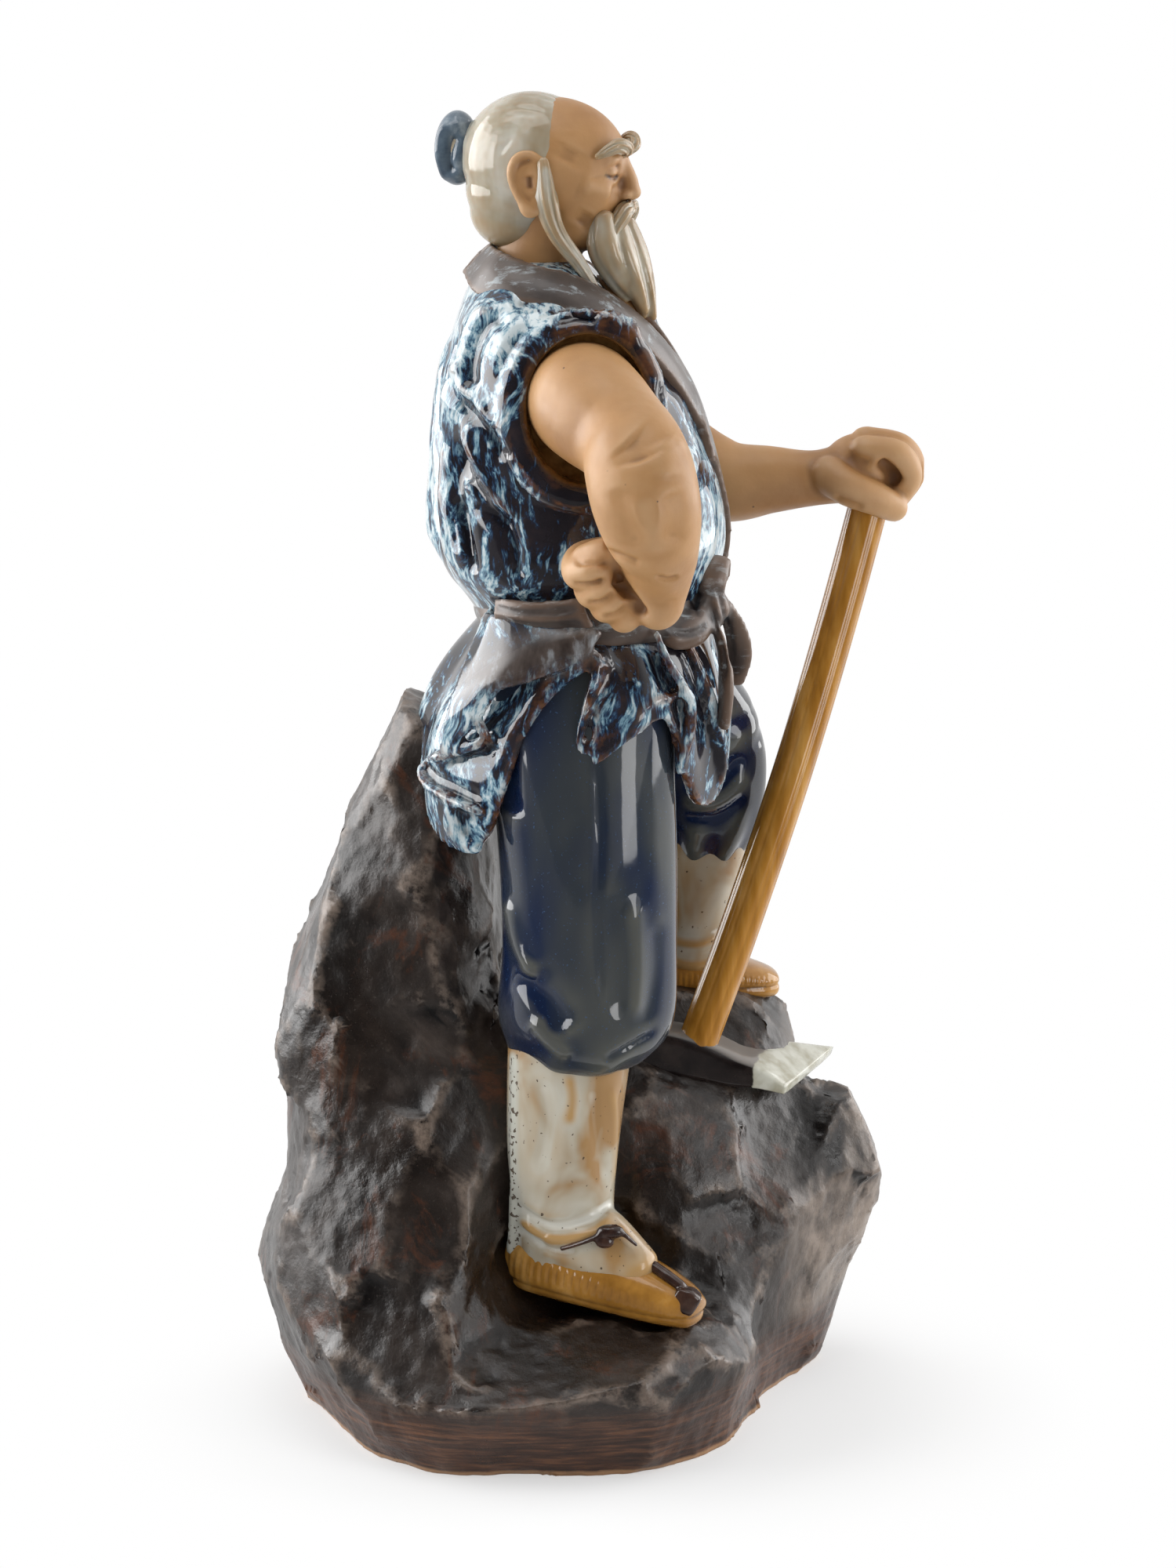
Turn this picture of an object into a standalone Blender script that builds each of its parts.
"""Glazed stoneware figurine: an old man stands against a crag, one fist on the hip, one hand on a mattock.

The whole object is one fired body. Every form is a closed mesh with one idea behind it: a loft for a limb,
a faceted hull for a boulder, a thick sheet for cloth. One skin is drawn over all of them, and one exact
difference cuts the flat foot and the hollow underside.
"""

import math
import bpy
import bmesh
import numpy as np
from mathutils import Vector, noise

# Driving sizes in millimetres. The man's points scale with the first three sizes,
# the rock's points with the next ones, and the two meet at LEDGE, STEP and FRONT_ROCK.
FIGURE_HEIGHT = 310.0  # sole of the standing foot to the crown
FIGURE_BREADTH = 82.0  # across the robe at the shoulders
FIGURE_DEPTH = 72.0  # back to front at the waist
LEDGE = 31.0  # height of the ledge in front of the standing foot
STEP = 100.0  # height of the step under the raised foot
CRAG = 187.0  # height of the crag behind the man
FRONT_ROCK = 74.0  # height of the boulder that carries the mattock
ROCK_LENGTH = 168.0  # rock, front to back
ROCK_WIDTH = 124.0  # rock, side to side
ROUGH = 1.3  # relief of the rock's facets
WALL = 8.0  # clay left round the hollow underside
CLOTH = 4.0  # thickness of the robe's hanging skirt
HANDLE = 5.1  # half thickness of the mattock's handle
ARM = 1.0  # fullness of both arms
LEG = 1.0  # fullness of both legs
HEAD = 1.0  # size of the head
VOXEL = 0.9  # grain at which the forms are fused
TRIANGLES = 11600  # triangles kept for the skin

MM = 0.001
KB = FIGURE_BREADTH / 82.0
KD = FIGURE_DEPTH / 72.0
KH = FIGURE_HEIGHT / 310.0
KR = (KB + KD + KH) / 3.0
HEAD_AT = (0.0, 8.6, 322.0)
HEAD_TURN = math.radians(-12.0)


def man(x, y, z):
    """A point of the man, which scales with his three sizes above the ledge."""
    return (x * KB, y * KD, LEDGE + (z - 31.0) * KH)


def on_step(x, y, z):
    """A point of the raised foot, which moves with the step's height."""
    return (x * KB, y * KD, STEP + (z - 100.0) * KR)


def on_front(x, y, z):
    """A point of the mattock's head, which moves with the boulder under it."""
    return (x, y, FRONT_ROCK + (z - 74.0))


def in_head(x, y, z):
    """A point given from the middle of the head, turned with the head."""
    c = math.cos(HEAD_TURN)
    s = math.sin(HEAD_TURN)
    k = KR * HEAD
    base = man(*HEAD_AT)
    return (base[0] + (x * c - y * s) * k, base[1] + (x * s + y * c) * k, base[2] + z * k)


def rows(place, table, size=1.0):
    """Turn a table of x, y, z, half size a, half size b into placed and scaled rows."""
    return [tuple(place(r[0], r[1], r[2])) + tuple(v * size * KR for v in r[3:]) for r in table]


def through(table, count, closed=False):
    """A smooth curve of `count` rows through the rows of a table."""
    pts = np.array(table, float)
    k = len(pts)
    spans = k if closed else k - 1
    out = []
    for i in range(count):
        t = i * spans / (count if closed else count - 1)
        j = min(int(t), spans - 1)
        f = t - j
        if closed:
            a, b, c, d = (pts[(j + o) % k] for o in (-1, 0, 1, 2))
        else:
            b, c = pts[j], pts[j + 1]
            a = pts[j - 1] if j > 0 else 2 * b - c
            d = pts[j + 2] if j + 2 < k else 2 * c - b
        out.append(0.5 * (2 * b + (c - a) * f + (2 * a - 5 * b + 4 * c - d) * f * f
                          + (3 * b - a - 3 * c + d) * f ** 3))
    return np.array(out)


forms = []


def keep(name, verts, faces):
    """Make one closed mesh object of a form and remember it for the union."""
    mesh = bpy.data.meshes.new(name)
    mesh.from_pydata([tuple(v) for v in verts], [], faces)
    bm = bmesh.new()
    bm.from_mesh(mesh)
    bmesh.ops.triangulate(bm, faces=bm.faces[:])
    bmesh.ops.recalc_face_normals(bm, faces=bm.faces[:])
    if bm.calc_volume(signed=True) < 0:
        bmesh.ops.reverse_faces(bm, faces=bm.faces[:])
    bm.to_mesh(mesh)
    bm.free()
    form = bpy.data.objects.new(name, mesh)
    bpy.context.scene.collection.objects.link(form)
    forms.append(form)
    return form


def loft(name, table, side=(1, 0, 0), seg=16, count=10, power=2.0, flat=False, dome=0.45, fold=None):
    """A closed body through rounded sections along a smooth path."""
    data = through(table, count)
    path = data[:, :3]
    size = np.maximum(data[:, 3:5], 0.3)
    tangent = np.gradient(path, axis=0)
    tangent /= np.linalg.norm(tangent, axis=1)[:, None]
    if flat:
        tangent[:] = (0, 0, 1) if path[-1][2] > path[0][2] else (0, 0, -1)
    angle = np.arange(seg) * 2 * math.pi / seg
    cx = np.sign(np.cos(angle)) * np.abs(np.cos(angle)) ** (2 / power)
    cy = np.sign(np.sin(angle)) * np.abs(np.sin(angle)) ** (2 / power)
    rings = []

    def ring(i, scale, push):
        t = tangent[i]
        s = np.array(side, float) - np.dot(side, t) * t
        s /= np.linalg.norm(s)
        w = np.cross(t, s)
        more = np.zeros(seg)
        if fold is not None:
            more = np.array([fold(i / (count - 1), a) for a in angle])
        ra = (size[i][0] + more) * scale
        rb = (size[i][1] + more) * scale
        return path[i] + t * push + np.outer(cx * ra, s) + np.outer(cy * rb, w)

    r0 = min(size[0])
    r1 = min(size[-1])
    rings.append(ring(0, 0.68, -r0 * dome * 0.75))
    for i in range(count):
        rings.append(ring(i, 1.0, 0.0))
    rings.append(ring(count - 1, 0.68, r1 * dome * 0.75))
    verts = np.concatenate(rings)
    n = len(rings)
    faces = []
    for i in range(n - 1):
        for j in range(seg):
            k = (j + 1) % seg
            faces.append((i * seg + j, i * seg + k, (i + 1) * seg + k, (i + 1) * seg + j))
    first = path[0] - tangent[0] * r0 * dome
    last = path[-1] + tangent[-1] * r1 * dome
    verts = np.vstack([verts, first, last])
    for j in range(seg):
        k = (j + 1) % seg
        faces.append((k, j, n * seg))
        faces.append(((n - 1) * seg + j, (n - 1) * seg + k, n * seg + 1))
    return keep(name, verts, faces)


def rod(name, points, radii, seg=10, count=8, flatten=1.0, side=(1, 0, 0), place=man, size=1.0):
    """A finger, lock or roll: round sections along placed points."""
    table = [tuple(p) + (r, r * flatten) for p, r in zip(points, radii)]
    return loft(name, rows(place, table, size), side=side, seg=seg, count=count, dome=0.9)


def blob(name, centre, radii, place=man, seg=14, rings=9, size=1.0):
    """An ellipsoid placed like the form it belongs to."""
    verts = []
    for i in range(1, rings):
        v = math.pi * i / rings
        for j in range(seg):
            u = 2 * math.pi * j / seg
            verts.append((math.sin(v) * math.cos(u), math.sin(v) * math.sin(u), math.cos(v)))
    verts.append((0, 0, 1))
    verts.append((0, 0, -1))
    faces = []
    for i in range(rings - 2):
        for j in range(seg):
            k = (j + 1) % seg
            faces.append((i * seg + j, i * seg + k, (i + 1) * seg + k, (i + 1) * seg + j))
    top = (rings - 1) * seg
    for j in range(seg):
        k = (j + 1) % seg
        faces.append((k, j, top))
        faces.append(((rings - 2) * seg + j, (rings - 2) * seg + k, top + 1))
    placed = [place(*(centre[a] + v[a] * radii[a] * size for a in range(3))) for v in verts]
    return keep(name, placed, faces)


def sheet(name, grid, thick, across=8, along=12, closed=False, seat=man):
    """A thick cloth through a grid of points, the thickness shared between both sides."""
    placed = [[seat(*p) for p in line] for line in grid]
    lines = np.array([through(line, along, closed) for line in placed])
    surf = np.array([through(lines[:, j], across) for j in range(along)]).transpose(1, 0, 2)
    du = np.gradient(surf, axis=0)
    if closed:
        dv = (np.roll(surf, -1, axis=1) - np.roll(surf, 1, axis=1)) / 2
    else:
        dv = np.gradient(surf, axis=1)
    normal = np.cross(du, dv)
    normal /= np.maximum(np.linalg.norm(normal, axis=2), 1e-9)[:, :, None]
    outer = (surf + normal * thick / 2).reshape(-1, 3)
    inner = (surf - normal * thick / 2).reshape(-1, 3)
    half = len(outer)
    verts = np.vstack([outer, inner])
    faces = []
    wrap = along if closed else along - 1
    for i in range(across - 1):
        for j in range(wrap):
            k = (j + 1) % along
            a, b, c, d = i * along + j, i * along + k, (i + 1) * along + k, (i + 1) * along + j
            faces.append((a, b, c, d))
            faces.append((half + d, half + c, half + b, half + a))
    for i, flip in ((0, False), (across - 1, True)):
        for j in range(wrap):
            k = (j + 1) % along
            q = (i * along + k, i * along + j, half + i * along + j, half + i * along + k)
            faces.append(q[::-1] if flip else q)
    if not closed:
        for j, flip in ((0, True), (along - 1, False)):
            for i in range(across - 1):
                q = ((i + 1) * along + j, i * along + j, half + i * along + j, half + (i + 1) * along + j)
                faces.append(q if flip else q[::-1])
    return keep(name, verts, faces)


def hull(name, points, cuts=0, rough=0.0):
    """A faceted stone: the convex hull of its points, with a broken surface."""
    bm = bmesh.new()
    for p in points:
        bm.verts.new(p)
    bmesh.ops.convex_hull(bm, input=bm.verts[:])
    loose = [v for v in bm.verts if not v.link_faces]
    bmesh.ops.delete(bm, geom=loose, context="VERTS")
    for _ in range(cuts):
        long_edges = [e for e in bm.edges if e.calc_length() > 15.0]
        bmesh.ops.subdivide_edges(bm, edges=long_edges, cuts=1)
        bmesh.ops.triangulate(bm, faces=bm.faces[:])
    if rough:
        bm.normal_update()
        for v in bm.verts:
            v.co += v.normal * rough * 2.0 * noise.noise(v.co * 0.09 + Vector((7.3, 1.9, 4.1)))
    verts = [tuple(v.co) for v in bm.verts]
    bm.verts.index_update()
    faces = [tuple(v.index for v in f.verts) for f in bm.faces]
    bm.free()
    return keep(name, verts, faces)


for old in list(bpy.data.objects):
    bpy.data.objects.remove(old, do_unlink=True)

# The rock. Each boulder is a table of corners; the heights scale with the level that the boulder carries.
KX = ROCK_WIDTH / 124.0
KY = ROCK_LENGTH / 168.0
BOULDERS = {
    "base": (LEDGE / 31.0, [
        (-41, 55, -6), (-48, 42, -6), (-56, 30, -6), (-54.5, -17, -6), (-38, -33, -6), (3, -41, -6),
        (24, -52, -6), (50, -40, -6), (55, 0, -6), (50, 42, -6), (36, 68, -6), (9, 72, -6), (-15, 63, -6),
        (-60, 28, 15), (-59, -16, 16), (-41, -36, 16), (2, -45, 14), (-46, 62, 24), (-62, 50, 20),
        (-70, 29, 20), (-70, 6, 23), (-66, -18, 28), (-50, -36, 31), (-22, -40, 32), (4, -46, 32),
        (-22, 19, 39), (-40, 14, 36),
        (56, -36, 30), (60, 0, 30), (56, 48, 30), (34, 76, 32), (2, 82, 32), (-26, 76, 28), (-30, 0, 36.5)]),
    "flank": (LEDGE / 31.0, [
        (-64, 34, 14), (-58, 52, 14), (-49, 66, 18), (-38, 76, 30), (-50, 32, 30), (-50, 48, 38), (-36, 21, 30),
        (-31, 23, 62), (-40, 42, 56), (-27, 25, 98), (-32, 46, 82), (-24, 64, 90), (-30, 72, 60),
        (0, 74, 60), (0, 40, 26), (10, 30, 90), (-10, 18, 30), (-12, 20, 100)]),
    "crag": (CRAG / 187.0, [
        (-14, 35, 178), (-8, 48, 177), (8, 50, 187), (20, 46, 186), (31, 38, 176), (22, 33, 182),
        (-18, 22, 60), (-25, 29, 110), (-21, 38, 144), (-2, 58, 163), (22, 58, 160), (38, 40, 150),
        (-8, 66, 135), (24, 66, 132), (-14, 78, 106), (-4, 81, 98), (24, 80, 100), (42, 62, 96),
        (46, 34, 100), (-24, 68, 84), (46, 20, 40), (-22, 28, 40), (-10, 74, 68), (36, 72, 60),
        (-20, 36, 12), (44, 30, 12), (20, 72, 40), (30, 20, 140), (12, 18, 100), (12, 27, 172)]),
    "back": (LEDGE / 31.0, [
        (-44, 60, 10), (-36, 74, 36), (-26, 74, 66), (-10, 85, 41), (0, 86, 37), (26, 83, 38),
        (42, 68, 60), (8, 79, 62), (-30, 68, 22), (0, 76, 2), (30, 72, 2), (50, 50, 2), (54, 36, 52),
        (0, 30, 60), (48, 50, 76), (10, 60, 84)]),
    "cleft": (LEDGE / 31.0, [
        (-30, 26, 10), (-28, 22, 40), (-29, 25, 90), (-18, 22, 112), (-12, 12, 96), (-10, 2, 70),
        (-12, -8, 40), (-6, -10, 20), (0, 20, 10), (10, 40, 60), (-24, 44, 70), (6, 6, 92), (10, 18, 118)]),
    "middle": (FRONT_ROCK / 74.0, [
        (-16, -22, 20), (-16, -14, 46), (-10, -22, 66), (-5, -10, 84), (6, -32, 81), (2, -42, 72),
        (-9, -34, 52), (-12, -38, 26), (0, -42, 6), (30, -50, 60), (44, -40, 40), (40, 0, 90), (0, 14, 96),
        (48, 24, 70), (52, 0, 10), (10, 30, 10), (22, -46, 78), (30, 14, 100)]),
    "saddle": (FRONT_ROCK / 74.0, [
        (-18, -38, 24), (-14, -34, 44), (2, -50, 50), (12, -60, 58), (22, -68, 46), (20, -60, 6),
        (3, -42, 2), (26, -64, 24), (-14, -36, 6), (42, -40, 4), (44, -40, 60), (18, -66, 62), (6, -40, 66),
        (3, -41, -6), (20, -51.5, -6), (30, -57, -6), (44, -30, -6)]),
    "step": (STEP / 100.0, [
        (22, -16, 99), (27, -50, 97), (32, -54, 91), (50, -54, 94), (58, -40, 97), (58, -8, 99),
        (46, 10, 106), (24, 8, 108), (12, -8, 96), (16, -40, 84), (62, -20, 60), (56, -52, 60),
        (22, -50, 66), (54, 14, 60), (20, 10, 40), (58, -34, 12), (30, -40, 12), (34, 22, 112)]),
    "front": (FRONT_ROCK / 74.0, [
        (14, -44, 73), (10, -50, 62), (12, -60, 52), (22, -66, 72), (34, -66, 73), (48, -64, 71),
        (56, -50, 66), (32, -79, 61), (20, -74, 56), (46, -78, 56), (30, -76, 50), (28, -71, 41),
        (44, -72, 38), (32, -67, 28), (33.5, -60, -6), (48, -44, -6), (56, -58, 30), (22, -54, -6),
        (58, -66, 52), (16, -56, 30), (30, -40, 75), (52, -40, 60), (24, -52, 77)]),
}
for name, (lift, corners) in BOULDERS.items():
    hull(name, [(x * KX, y * KY, z * lift) for x, y, z in corners], cuts=2, rough=ROUGH)

# The standing leg: baggy trouser gathered at the cuff, bound stocking, straw shoe.
def trouser_fold(u, a):
    return 1.1 * math.sin(3 * a + 2.2 + 3 * u) * u + 1.0 * math.sin(9 * a) * u ** 3


loft("trouser_right", rows(man, [
    (-18, 3, 212, 19, 24), (-21, 3, 200, 20, 25), (-25, 2, 180, 20.5, 23.5), (-27.5, 0.5, 155, 19.5, 22.5),
    (-28, 0, 130, 19, 22), (-28, 0.5, 114, 19, 22.5), (-28, 0.5, 106, 17.5, 20.5), (-27.5, 1.5, 101, 15, 17)],
    LEG), seg=24, count=15, dome=0.2, fold=trouser_fold, flat=True)
loft("stocking_right", rows(man, [
    (-27, 4, 108, 14.5, 16), (-27, 5, 98, 14.3, 15.5), (-28, 6.5, 75, 13, 14), (-29, 6, 58, 12, 13),
    (-29.5, 5.5, 50, 12.5, 14), (-30, 5, 44, 13, 15)], LEG), seg=20, count=10, dome=0.2, flat=True)


def shoe(name, place, heel, toe, wide, high):
    """Sole block with a rounded upper, seen from above a long oval."""
    hx, hy, hz = heel
    tx, ty, tz = toe
    table = []
    for f, w, h in ((0.0, 0.72, 0.80), (0.12, 0.92, 0.98), (0.35, 0.95, 1.0), (0.55, 1.02, 0.86),
                    (0.75, 1.0, 0.64), (0.92, 0.8, 0.5), (1.0, 0.55, 0.42)):
        table.append((hx + (tx - hx) * f, hy + (ty - hy) * f, hz + (tz - hz) * f + high * h / 2,
                      wide * w, high * h / 2))
    return loft(name, rows(place, table, LEG), side=(1, 0, 0), seg=16, count=12, power=2.6, dome=0.4)


shoe("shoe_right", man, (-22, 17, 36.5), (-43, -26, 33.5), 10.5, 17.0)
loft("instep_right", rows(man, [
    (-30, 8, 56, 12, 12), (-34, -2, 51.5, 11, 10.5), (-37.5, -11, 46, 8.5, 7)], LEG),
    seg=16, count=8, dome=0.7)

# The raised leg: thigh under the skirt, bent knee, gathered cuff, stocking and shoe on the step.
loft("thigh_left", rows(man, [
    (16, 8, 206, 19, 22), (22, -8, 194, 18, 19), (29, -22, 181, 17.5, 16.5), (34, -31, 171, 15.5, 14.5)],
    LEG), seg=20, count=9, dome=0.8)
loft("shin_left", rows(man, [
    (33, -27, 176, 15, 15), (36, -30.5, 163, 15, 16), (38.5, -31, 150, 14, 14.5),
    (40, -30, 141, 12, 12)], LEG), seg=20, count=9, dome=0.6)
loft("stocking_left", [
    tuple(man(39.5, -30, 150)) + (11.5 * KR * LEG, 12 * KR * LEG),
    tuple(man(40.5, -29.5, 138)) + (11.5 * KR * LEG, 12 * KR * LEG),
    tuple(on_step(41, -28, 122)) + (10 * KR * LEG, 10.5 * KR * LEG),
    tuple(on_step(41, -27, 108)) + (9.5 * KR * LEG, 11 * KR * LEG)], seg=18, count=9, dome=0.4)
shoe("shoe_left", on_step, (40, -16, 97.5), (45, -49, 96), 9.0, 13.0)

# The robe above the belt, with its blouse of cloth over the sash.
def robe_fold(u, a):
    """Folds that run down from the armholes and gather in the blouse over the sash."""
    low = math.sin(math.pi * min(1.0, max(0.0, u * 1.1 - 0.1)))
    gather = max(0.0, 1.0 - abs(u - 0.84) / 0.2)
    drape = math.sin(6 * a + 5.0 * u + 0.6) + 0.55 * math.sin(10 * a - 4.0 * u)
    return 1.5 * low * drape + 1.1 * gather * math.sin(17 * a + 1.2 * math.sin(3 * a))


ARMHOLE = (0.2, 269.0, 16.0, 18.9)  # oval of each armhole: middle y and z, half breadth, half height


def press_armhole(form):
    """Trim a form at the plane of its armhole and press it in inside the oval."""
    y, z, ry, rz = ARMHOLE
    middle = man(0, y, z)
    for vertex in form.data.vertices:
        beside = (vertex.co.y - middle[1]) / (ry * KD)
        above = (vertex.co.z - middle[2]) / (rz * KH)
        away = beside ** 2 + above ** 2
        inside = min(1.0, max(0.0, 5.0 * (1.0 - away)))
        limit = (38.4 - 4.8 * above - 4.8 * inside) * KB
        if away < 2.2 and abs(vertex.co.x) > limit:
            vertex.co.x = math.copysign(limit, vertex.co.x)


ROBE = [(300, 25, 2, 14), (294, 29.5, -4, 27), (287, 32.5, -11, 36), (279, 35, -16.5, 40),
        (268, 37.2, -23, 41), (257, 37.8, -27.5, 40.5), (246, 37.8, -31.5, 39.5), (236, 38.3, -33.5, 39),
        (228, 38, -33.5, 38.5), (222, 35.5, -32, 36.5), (217, 31.5, -30, 34), (211, 27.5, -28, 32)]
robe = loft("robe", rows(man, [(0, (b + f) / 2, z, hx, (b - f) / 2) for z, b, f, hx in ROBE]),
            seg=72, count=26, power=2.35, flat=True, dome=0.1, fold=robe_fold)
press_armhole(robe)
for name, flip in (("shoulder_right", -1), ("shoulder_left", 1)):
    cap = loft(name, rows(man, [(flip * 4, 11, 272, 22, 22), (flip * 16, 8, 270.5, 22, 22.5),
                                (flip * 27, 3.8, 269.3, 21.4, 23), (flip * 36, 1.4, 268.4, 20.4, 22.8),
                                (flip * 44, 1.2, 268.2, 20.0, 22.4)]),
               side=(0, 1, 0), seg=30, count=14, dome=0.05)
    press_armhole(cap)
loft("hips", rows(man, [(0, -1, 216, 33, 26), (0, 0, 205, 34, 26.5), (0, 2, 192, 32, 27), (-1, 3, 182, 27, 22)]),
     seg=24, count=8, power=2.2, flat=True, dome=0.3)
loft("sash", rows(man, [(0, -1, 206.5, 33, 25.5), (0, -1, 210, 36.3, 29), (0, -1, 215, 36.3, 29.2),
                        (0, -0.5, 218.5, 33, 27)]),
     seg=30, count=7, power=2.3, flat=True, dome=0.1)

# The skirt hangs from the sash. Each column: sash point, hem point, bulge.
SKIRT = [
    ((-38, -3, 209), (-41, -4, 205), 0.5), ((-38, 3, 209), (-42, 5, 201), 1.0),
    ((-37, 9, 209), (-41, 14, 190), 2.0), ((-34, 15, 209), (-39, 20, 174), 2.5),
    ((-30, 18.5, 209), (-36, 25, 160), 4.0), ((-25, 21.5, 209), (-30, 33, 156), 4.5),
    ((-18, 24, 209), (-21, 38.5, 160), 7.0), ((-9, 26.5, 209), (-11, 41, 171), 3.0),
    ((1, 27.5, 209), (0, 43, 178), 3.0), ((11, 26.5, 209), (12, 41, 176), 2.0), ((20, 24, 209), (23, 38, 172), 3.5),
    ((28, 20, 209), (33, 32, 166), 2.0), ((34, 14, 209), (41, 22, 164), 3.0), ((37, 4, 209), (46, 8, 166), 1.5),
    ((37, -5, 209), (48, -6, 170), 3.0), ((34, -14, 209), (45, -19, 172), 1.5),
    ((27, -22, 209), (37, -30, 176), 2.5), ((18, -27, 209), (26, -34, 182), 2.0),
    ((8, -29, 209), (12, -35, 178), 3.0), ((-2, -30, 209), (0, -34.5, 170), 1.0),
    ((-12, -29, 209), (-14, -31.5, 165), 2.5), ((-20, -27, 209), (-24, -27, 166), 1.0),
    ((-27, -23, 209), (-32, -23, 178), 2.5), ((-32, -18, 209), (-38, -19, 191), 1.5),
    ((-36, -13, 209), (-43, -10, 187), 2.5), ((-38, -8, 209), (-44, -1, 181), 1.0),
    ((-38, -5.5, 209), (-43, -2.5, 196), 0.5)]
grid = []
for t in (0.0, 0.3, 0.62, 1.0):
    line = []
    for top, hem, bulge in SKIRT:
        out = np.array((top[0], top[1], 0.0)) / math.hypot(top[0], top[1])
        p = np.array(top) * (1 - t) + np.array(hem) * t + out * bulge * math.sin(math.pi * t)
        p = p - out * (2.5 * (1 - t) ** 2)
        line.append(tuple(p))
    grid.append(line)
sheet("skirt", grid, CLOTH * KR, across=8, along=66, closed=True)

# The near flap of the robe, folded back over the sash, and the hems turned over the skirt's edges.
sheet("flap", [[(-38, -2, 216), (-38, 8, 216), (-36, 16.5, 216), (-31, 22.5, 216), (-24, 25, 215)],
               [(-42, -2, 214), (-43, 9, 211), (-42, 19, 207), (-38, 26, 203), (-31, 32, 199)],
               [(-42.5, -1.5, 213), (-44, 10, 206), (-43.5, 20, 202.5), (-41, 27, 198), (-33, 35, 190)],
               [(-42.5, -1, 212), (-44, 10, 205), (-43, 20, 201.5), (-40, 27.5, 190), (-30, 37, 180)]],
      2.6 * KR, across=9, along=18)
HEMS = {
    "flap_rim": [(-42, -2.9, 213.7), (-43.5, 3.1, 208.1), (-44.5, 12.0, 204.2), (-44, 19.9, 201.6),
                 (-42, 24.6, 200.6), (-41, 27.1, 197.3), (-40, 27.8, 192.5), (-40, 25.8, 187.9),
                 (-39, 25.5, 185.9), (-35, 31.6, 182.5), (-27, 38.7, 178.6)],
    "under_rim": [(-42, -1.4, 209.3), (-42, 2.9, 205.0), (-42, 8.7, 202.0), (-41, 14.3, 194.2),
                  (-40, 17.9, 189.8), (-39, 20.0, 184.9), (-38, 21.8, 179.3), (-37, 23.6, 170.8),
                  (-36, 25.4, 163.5), (-35, 26.0, 160.8)],
    "low_rim": [(-25, 38.7, 178.1), (-21, 42.0, 173.8), (-26, 40.3, 171.4), (-32, 35.9, 170.0),
                (-37, 29.9, 168.4), (-39, 27.1, 167.4)],
    "roll": [(-33, 34.0, 170.0), (-32, 34.0, 163.1), (-33, 31.5, 158.2), (-36, 27.8, 157.5)],
    "front_left": [(-42, -2.9, 208.3), (-43, -1.0, 200.4), (-44, 1.4, 191.3), (-44, 2.1, 186.0),
                   (-44.5, 1.0, 183.8)],
    "front_hem": [(-44.5, 1.2, 183.8), (-44, 0.2, 184.6), (-43.5, -6.0, 188.4), (-42.5, -11.8, 193.2),
                  (-40.5, -17.4, 196.5), (-36, -24.9, 196.5)],
    "front_fold": [(-36, -16.9, 212.3), (-38, -19.8, 205.0), (-38, -23.7, 198.8), (-36.5, -25.5, 194.5),
                   (-34, -25.4, 187.1), (-33, -23.3, 180.0), (-32, -22.7, 176.1)],
    "front_tube": [(-28, -25.5, 207.0), (-25, -29.2, 196.0), (-20, -32.1, 185.7), (-17, -33.4, 176.1),
                   (-16, -33.1, 169.9)],
}
HEM_RADII = {"flap_rim": 1.5, "under_rim": 1.3, "low_rim": 1.3, "roll": 2.4, "front_left": 1.2,
             "front_hem": 1.3, "front_fold": 1.6, "front_tube": 2.0}
for name, line in HEMS.items():
    r = HEM_RADII[name]
    rod(name, line, [r * 0.6] + [r] * (len(line) - 2) + [r * 0.7], seg=8, count=3 * len(line))

# Collar bands: the near one crosses over the far one.
COLLAR = [((0, 23.5, 303), (0, 30.5, 296)), ((-11, 20.5, 302.5), (-15, 27, 293)), ((-16, 13, 299), (-23.5, 17, 291)),
          ((-15.5, 4, 295), (-25, 4, 287)), ((-11, -6, 288), (-20, -9, 280)), ((-4, -16, 278), (-13, -19, 269)),
          ((3, -24.5, 266), (-6, -26.5, 257)), ((8, -30, 250), (-1, -32, 243)), ((12, -33, 232), (3, -34.5, 229)),
          ((13, -31, 214), (5, -32, 212))]
for name, flip, last in (("collar_right", 1, 10), ("collar_left", -1, 8)):
    part = COLLAR[:last]
    top = [(p[0] * flip, p[1], p[2]) for p, q in part]
    mid = [((p[0] + q[0]) / 2 * flip - 1.2 * flip, (p[1] + q[1]) / 2, (p[2] + q[2]) / 2 + 1.0) for p, q in part]
    low = [(q[0] * flip, q[1], q[2]) for p, q in part]
    sheet(name, [top, mid, low], 3.4 * KR, across=5, along=20)

# Armholes: a flat band with a turned edge round each shoulder.


def armhole_line(flip, grow, out):
    """An oval round the shoulder; grow widens it and out moves it away from the body."""
    y, z, ry, rz = ARMHOLE
    y += 5.0 * (grow - 1)
    z -= 3.3 * (grow - 1)
    line = []
    for i in range(24):
        a = 2 * math.pi * i / 24
        across = flip * (38.6 - 4.8 * math.sin(a) + out)
        line.append((across, y + ry * grow * math.cos(a), z + rz * grow * math.sin(a)))
    return line


for name, flip in (("armhole_right", -1), ("armhole_left", 1)):
    sheet(name, [armhole_line(flip, grow, out) for grow, out in
                 ((1.27, -1.6), (1.19, 0.9), (1.06, 1.5), (1.0, 0.0), (0.98, -7.0))],
          2.8 * KR, across=10, along=30, closed=True)

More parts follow.
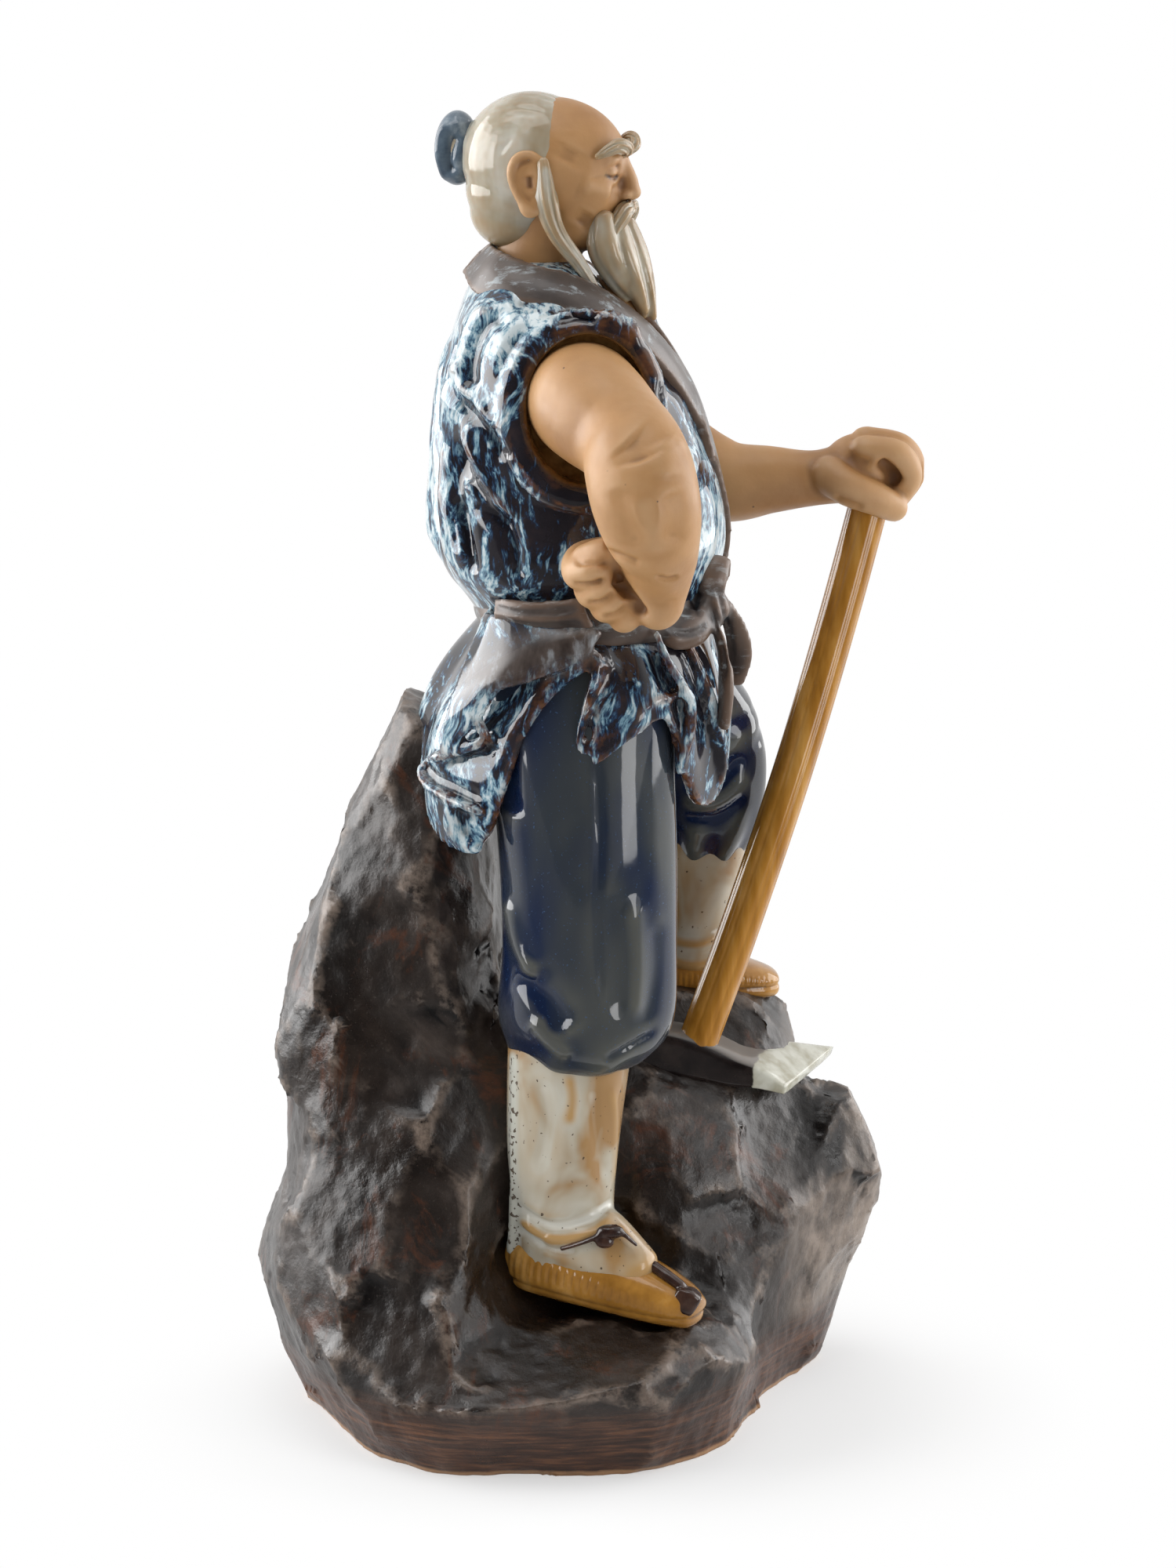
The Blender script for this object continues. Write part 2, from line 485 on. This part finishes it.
# The near arm: shoulder in the armhole, elbow out, back of the fist on the sash.
loft("arm_right", rows(man, [
    (-26, 1, 270, 13.5, 13.5), (-37, 0.6, 270.6, 14.3, 14.3), (-45, -3.3, 268.3, 13.8, 13.8),
    (-52, -7.8, 265.2, 12.6, 12.8), (-59, -10.9, 262.3, 12.6, 12.8), (-65, -12.3, 258.8, 13.2, 13.2),
    (-68, -13.8, 252.5, 13.2, 13.2), (-66, -15.5, 245, 12.1, 12.1), (-61.5, -17.0, 238.2, 9.9, 9.7),
    (-57.5, -16.8, 232.5, 8.8, 8.4), (-55, -15.5, 227, 8.6, 8.2)], ARM),
    side=(0, 1, 0), seg=20, count=18, dome=0.5)
blob("elbow_right", (-67.5, -18.6, 263.5), (5.6, 5.4, 5.2), size=ARM, seg=12, rings=8)
blob("wrist_bone", (-62, -22.0, 236.0), (4.2, 3.6, 4.4), size=ARM, seg=12, rings=8)
blob("palm_right", (-50, -8.5, 227), (9.0, 10.0, 9.2), size=ARM, seg=18, rings=12)
blob("back_of_hand", (-44, -8, 226), (6, 10, 9.2), size=ARM, seg=16, rings=10)
FINGERS = {
    "finger_1": ([(-42, -4, 233.5), (-47, 1.2, 233), (-53.5, 1.8, 231.6), (-57.4, -0.6, 232.6), (-58.8, -2.8, 233.8)],
                 [4.6, 4.7, 4.6, 4.4, 3.8]),
    "finger_2": ([(-42, -5, 228), (-47.5, -0.8, 227.3), (-53.5, -1.0, 226.4), (-57.4, -3.2, 227.8),
                  (-58.8, -5.2, 229.5)], [4.0, 4.1, 4.0, 3.9, 3.4]),
    "finger_3": ([(-42, -8, 224), (-47.5, -4.2, 223.4), (-53.5, -4.4, 222.7), (-57.2, -6.2, 224.0),
                  (-58.4, -8.0, 225.8)], [3.8, 3.9, 3.8, 3.7, 3.2]),
    "finger_4": ([(-42, -11, 221), (-47.5, -8.4, 220.4), (-53, -8.6, 219.9), (-56.4, -9.8, 221.0),
                  (-57.6, -11.2, 222.6)], [3.5, 3.6, 3.6, 3.4, 3.0]),
    "thumb": ([(-56, -15, 235), (-57.6, -8.8, 236.6), (-57, -3.8, 236.8), (-54, 0.8, 235.2)], [4.7, 4.4, 4.0, 3.4]),
}
for name, (points, radii) in FINGERS.items():
    rod(name, points, radii, seg=12, count=10, side=(0, 0.3, 1), size=ARM)
blob("heel_of_hand", (-57, -17, 225.5), (6.5, 6.6, 7.6), size=ARM, seg=14, rings=9)

# The far arm reaches forward; the hand closes over the top of the handle.
loft("arm_left", rows(man, [
    (28, 2, 266, 15, 15), (38, -3, 264, 14.5, 14.5), (43.5, -11, 253, 12.5, 12.5), (42.5, -22.5, 242, 11.8, 11.8),
    (39, -35, 236.2, 10.7, 10.7), (38, -47, 236.6, 8.6, 8.8), (38, -58, 237, 7.0, 7.2),
    (39, -66, 238, 7.5, 7.6)], ARM), side=(1, 0, 0), seg=18, count=16, dome=0.5)
blob("palm_left", (40, -71.5, 241), (9.5, 10.5, 7.5), size=ARM, seg=16, rings=10)
LEFT_FINGERS = {
    "left_1": ([(34, -71, 245), (34, -79.5, 243.5), (35.5, -82.6, 238), (38, -79.5, 232)], [4.0, 4.1, 3.7, 3.4]),
    "left_2": ([(39, -71.5, 246.3), (39.4, -80.6, 244.2), (40.4, -83.6, 238), (41, -80, 231.6)],
               [4.2, 4.2, 3.8, 3.5]),
    "left_3": ([(44, -73, 245), (45, -80, 243.5), (45.5, -83, 238), (45, -79, 232)], [4.0, 4.2, 3.9, 3.6]),
    "left_4": ([(48, -70, 243), (49.5, -77, 241), (49, -79.5, 236), (47, -76, 231.5)], [3.7, 3.9, 3.6, 3.3]),
    "left_thumb": ([(33, -62, 239), (30, -67, 236), (31, -74, 233), (34, -79, 230)], [5.0, 4.8, 4.4, 3.8]),
}
for name, (points, radii) in LEFT_FINGERS.items():
    rod(name, points, radii, seg=10, count=8, size=ARM)

# The mattock: an eight-sided handle, an eye block and a flared cutting edge on the boulder.
top = np.array(man(40, -75.3, 240))
low = np.array(on_front(12.5, -25.5, 84))
shaft = []
for t in (0.0, 0.25, 0.5, 0.75, 1.0):
    bow = np.array((0.0, -2.7 * KD * math.sin(math.pi * t), 0.0))
    shaft.append(tuple(top + (low - top) * t + bow) + (HANDLE, HANDLE))
loft("handle", shaft, side=(1, 0, 0), seg=8, count=9, dome=0.05)
BLADE = [(14, -12, 91.5, 6.5, 7.0), (14.5, -21, 88.5, 7.5, 7.0), (15.5, -30, 86, 8.0, 6.0),
         (18.5, -39, 83.5, 10, 4.6), (23, -48, 81.5, 14, 3.4), (28, -55.5, 81, 19, 2.2)]
loft("mattock", [tuple(on_front(*r[:3])) + r[3:] for r in BLADE], side=(0.92, -0.38, 0), seg=16, count=12,
     power=3.2, dome=0.25)

# The neck, head and hair. Positions are given from the middle of the head.
rod("neck", [(0, 14, 292), (0, 12, 302), (0, 9.5, 312)], [12.5, 10.5, 11], seg=18, count=7)
blob("chest", (0, -1, 284), (13, 13, 12), seg=16, rings=9)
blob("skull", (0, 0.5, 2), (15.8, 19.5, 16.6), place=in_head, seg=24, rings=14, size=1.0)
blob("face", (0, -5.5, -4), (12.8, 13.2, 14.5), place=in_head, seg=22, rings=14)
blob("jaw", (0, -7.5, -12), (10, 8.8, 7.5), place=in_head, seg=18, rings=10)
blob("hair", (0, 5.5, 3.2), (17.0, 17.6, 16.6), place=in_head, seg=26, rings=16)
blob("hair_nape", (0, 10, -6), (13.5, 11.5, 10), place=in_head, seg=18, rings=10)
rod("bun_root", [(0, 16, 6), (0, 21, 6), (0, 24, 5.5)], [6.0, 5.6, 6.4], place=in_head, seg=14, count=6)
blob("bun", (0, 24.5, 5.2), (7.6, 5.6, 9.4), place=in_head, seg=18, rings=12)
hull("nose", [in_head(*p) for p in (
    (-2.2, -16.4, 3.6), (2.2, -16.4, 3.6), (-1.5, -18.6, 2.0), (1.5, -18.6, 2.0), (-3.2, -21.2, -4.8),
    (3.2, -21.2, -4.8), (-1.4, -22.6, -3.8), (1.4, -22.6, -3.8), (-4.4, -17.4, -6.2), (4.4, -17.4, -6.2),
    (0, -20.6, -6.8), (-3.4, -14, -3), (3.4, -14, -3))])
for s in (-1, 1):
    tag = "right" if s < 0 else "left"
    rod("brow_" + tag, [(s * 1.8, -18.0, 5.2), (s * 5.8, -18.0, 6.8), (s * 10.4, -14.6, 5.6)], [1.8, 2.3, 1.5],
        place=in_head, seg=8, count=6)
    blob("eye_" + tag, (s * 5.6, -15.0, 1.4), (3.6, 2.6, 2.0), place=in_head, seg=12, rings=8)
    blob("cheek_" + tag, (s * 7.2, -13.0, -4.2), (5.0, 4.6, 4.6), place=in_head, seg=12, rings=8)
    rod("moustache_" + tag, [(s * 0.6, -19.3, -8.2), (s * 4.6, -18.6, -9.4), (s * 7.6, -16.6, -14.0),
                             (s * 8.0, -17.0, -20.0)], [1.8, 2.1, 1.8, 1.0], place=in_head, seg=8, count=8)
    rod("lock_" + tag, [(s * 14.8, -0.5, 4.0), (s * 15.2, -1.6, -5.0), (s * 14.6, -4.0, -13.0),
                        (s * 12.0, -9.5, -21.5), (s * 10.0, -13.5, -28.5)], [2.2, 2.8, 2.3, 1.8, 0.9],
        place=in_head, seg=8, count=10)
    ear = []
    for i in range(10):
        a = 2 * math.pi * i / 10
        ear.append(in_head(s * (16.2 + 1.3 * math.sin(a + 1.2)), 4.8 + 4.2 * math.cos(a), -1.8 + 6.2 * math.sin(a)))
    hull("ear_" + tag, ear + [in_head(s * 14.0, 3 + 2.8 * math.cos(b), -2 + 4.5 * math.sin(b))
                              for b in (0.3, 1.6, 2.8, 4.4, 5.4)]
         + [in_head(s * 18.3, 7.4, 0.6), in_head(s * 18.0, 5.5, 3.0), in_head(s * 17.6, 6.6, -4.0)])
blob("lower_lip", (0, -17.0, -11.8), (4.2, 2.6, 1.5), place=in_head, seg=12, rings=7)
loft("beard", [tuple(in_head(*r[:3])) + tuple(v * KR * HEAD for v in r[3:]) for r in (
    (0, -12.5, -11, 9.5, 6.0), (0.4, -16.5, -15.5, 9.0, 5.2), (0.8, -19.5, -21.5, 7.6, 4.6),
    (1.2, -21.5, -28, 5.4, 3.4), (1.4, -24.0, -34, 2.4, 1.8))], side=(1, 0, 0), seg=16, count=10, dome=0.8)

# The sash's near band, the knot, its two loops and its two tails.
sheet("near_band", [[(-30, 22.3, 219.6), (-35, 18.6, 220.6), (-38, 12.0, 220.6), (-39.5, 1.4, 222)],
                    [(-32, 22.8, 217), (-37, 18, 217.2), (-40, 11.0, 217.2), (-41, 0, 218)],
                    [(-31, 22.3, 213.6), (-36, 17, 213.3), (-39, 9.7, 213), (-40.5, -2.7, 213)]],
      2.6 * KR, across=5, along=12)
blob("knot", (-17, -31, 214.5), (5.5, 4.6, 5.2), seg=12, rings=8)
rod("loop_near", [(-19, -30, 215), (-25, -27, 211.5), (-30, -21.5, 210.5), (-31, -18, 213)], [2.6, 4.4, 3.6, 1.6],
    flatten=0.6, side=(0, 0.4, 1), seg=10, count=9)
rod("loop_up", [(-17, -31, 216), (-18, -31, 222), (-15, -33, 226), (-12, -34, 221)], [2.8, 3.8, 3.0, 1.6],
    flatten=0.6, side=(0, 1, 0.2), seg=10, count=9)
rod("tail_short", [(-15, -34, 215), (-12, -37, 208), (-10, -38, 201), (-9.5, -37, 194)], [2.4, 3.2, 3.6, 2.6],
    flatten=0.5, side=(0.2, 1, 0), seg=10, count=9)
rod("tail_long", [(-20, -31, 213), (-22, -34, 204), (-23, -34.5, 195), (-23.5, -34, 186)], [2.2, 3.2, 3.8, 3.0],
    flatten=0.5, side=(1, 0.3, 0), seg=10, count=9)

# Every form is fused into one skin, then the skin is thinned to the triangles it needs.
scene = bpy.context.scene


def bake(target, kind, setup):
    """Add one modifier, then keep its result as the object's mesh."""
    modifier = target.modifiers.new("step", kind)
    setup(modifier)
    graph = bpy.context.evaluated_depsgraph_get()
    result = bpy.data.meshes.new_from_object(target.evaluated_get(graph))
    target.modifiers.remove(modifier)
    target.data = result


def fuse(modifier):
    modifier.mode = "VOXEL"
    modifier.voxel_size = VOXEL
    modifier.adaptivity = 0.0


def thin(modifier):
    modifier.decimate_type = "COLLAPSE"
    modifier.ratio = min(1.0, TRIANGLES / (2.0 * len(first.data.polygons)))
    modifier.use_collapse_triangulate = True


bm = bmesh.new()
for form in forms:
    bm.from_mesh(form.data)
skin = bpy.data.meshes.new("skin")
bm.to_mesh(skin)
bm.free()
for form in forms:
    bpy.data.objects.remove(form, do_unlink=True)
first = bpy.data.objects.new("skin", skin)
scene.collection.objects.link(first)
bake(first, "REMESH", fuse)
bake(first, "DECIMATE", thin)

# The flat foot and the hollow underside are cut in one pass.
forms = []
CORE = {
    "core_low": (LEDGE / 31.0, [
        (-34, 40, -20), (-44, 26, -20), (-44, -12, -20), (-30, -22, -20), (4, -30, -20), (40, -26, -20),
        (44, 0, -20), (38, 36, -20), (26, 56, -20), (0, 58, -20), (-14, 54, -20),
        (-40, 26, 16), (-40, -10, 17), (-28, -20, 17), (6, -26, 18), (40, -24, 18), (42, 30, 18),
        (24, 58, 18), (-14, 54, 18)]),
    "core_crag": (CRAG / 187.0, [
        (-8, 50, -20), (24, 54, -20), (32, 32, -20), (-8, 36, -20), (-8, 40, 90), (28, 40, 90),
        (24, 60, 88), (-2, 62, 86), (4, 40, 140), (20, 40, 140), (14, 48, 150)]),
    "core_front": (FRONT_ROCK / 74.0, [
        (12, -32, -20), (28, -46, -20), (42, -36, -20), (46, -4, -20), (6, -8, -20), (8, -26, 56),
        (44, -14, 60), (42, -56, 54), (28, -60, 50), (14, -46, 50), (30, -50, 60), (10, -6, 62), (44, -4, 62)]),
}
inset = WALL / 8.0
for name, (lift, corners) in CORE.items():
    mid = np.mean(np.array(corners, float), axis=0)
    shrink = 1.0 - 0.18 * (inset - 1.0)
    hull(name, [((mid[0] + (x - mid[0]) * shrink) * KX, (mid[1] + (y - mid[1]) * shrink) * KY,
                 (z if z < 0 else z * shrink) * lift) for x, y, z in corners])
hull("ground", [(x, y, z) for x in (-160, 160) for y in (-160, 160) for z in (-40, 0)])


def cut(modifier):
    modifier.solver = "EXACT"
    modifier.operation = "DIFFERENCE"
    modifier.object = cutter


for cutter in forms:
    bake(first, "BOOLEAN", cut)
for cutter in forms:
    bpy.data.objects.remove(cutter, do_unlink=True)

# The origin goes to the middle of the foot, the size to metres.
bm = bmesh.new()
bm.from_mesh(first.data)
bmesh.ops.triangulate(bm, faces=bm.faces[:])
co = np.array([v.co[:] for v in bm.verts])
low = co.min(axis=0)
high = co.max(axis=0)
shift = Vector((-(low[0] + high[0]) / 2, -(low[1] + high[1]) / 2, -low[2]))
for v in bm.verts:
    v.co = (v.co + shift) * MM
bmesh.ops.remove_doubles(bm, verts=bm.verts[:], dist=0.00002)
bmesh.ops.dissolve_degenerate(bm, edges=bm.edges[:], dist=0.00002)
bmesh.ops.triangulate(bm, faces=bm.faces[:])
print("shift", [round(s, 3) for s in shift], "size", np.round(high - low, 2), "triangles", len(bm.faces),
      "open edges", sum(1 for e in bm.edges if len(e.link_faces) != 2))
mesh = bpy.data.meshes.new("figurine")
bm.to_mesh(mesh)
bm.free()
bpy.data.objects.remove(first, do_unlink=True)

clay = bpy.data.materials.new("glazed_stoneware")
clay.use_nodes = True
shader = clay.node_tree.nodes["Principled BSDF"]
shader.inputs["Base Color"].default_value = (0.16, 0.11, 0.08, 1.0)
shader.inputs["Roughness"].default_value = 0.3
mesh.materials.append(clay)
for polygon in mesh.polygons:
    polygon.use_smooth = True
figurine = bpy.data.objects.new("figurine", mesh)
scene.collection.objects.link(figurine)
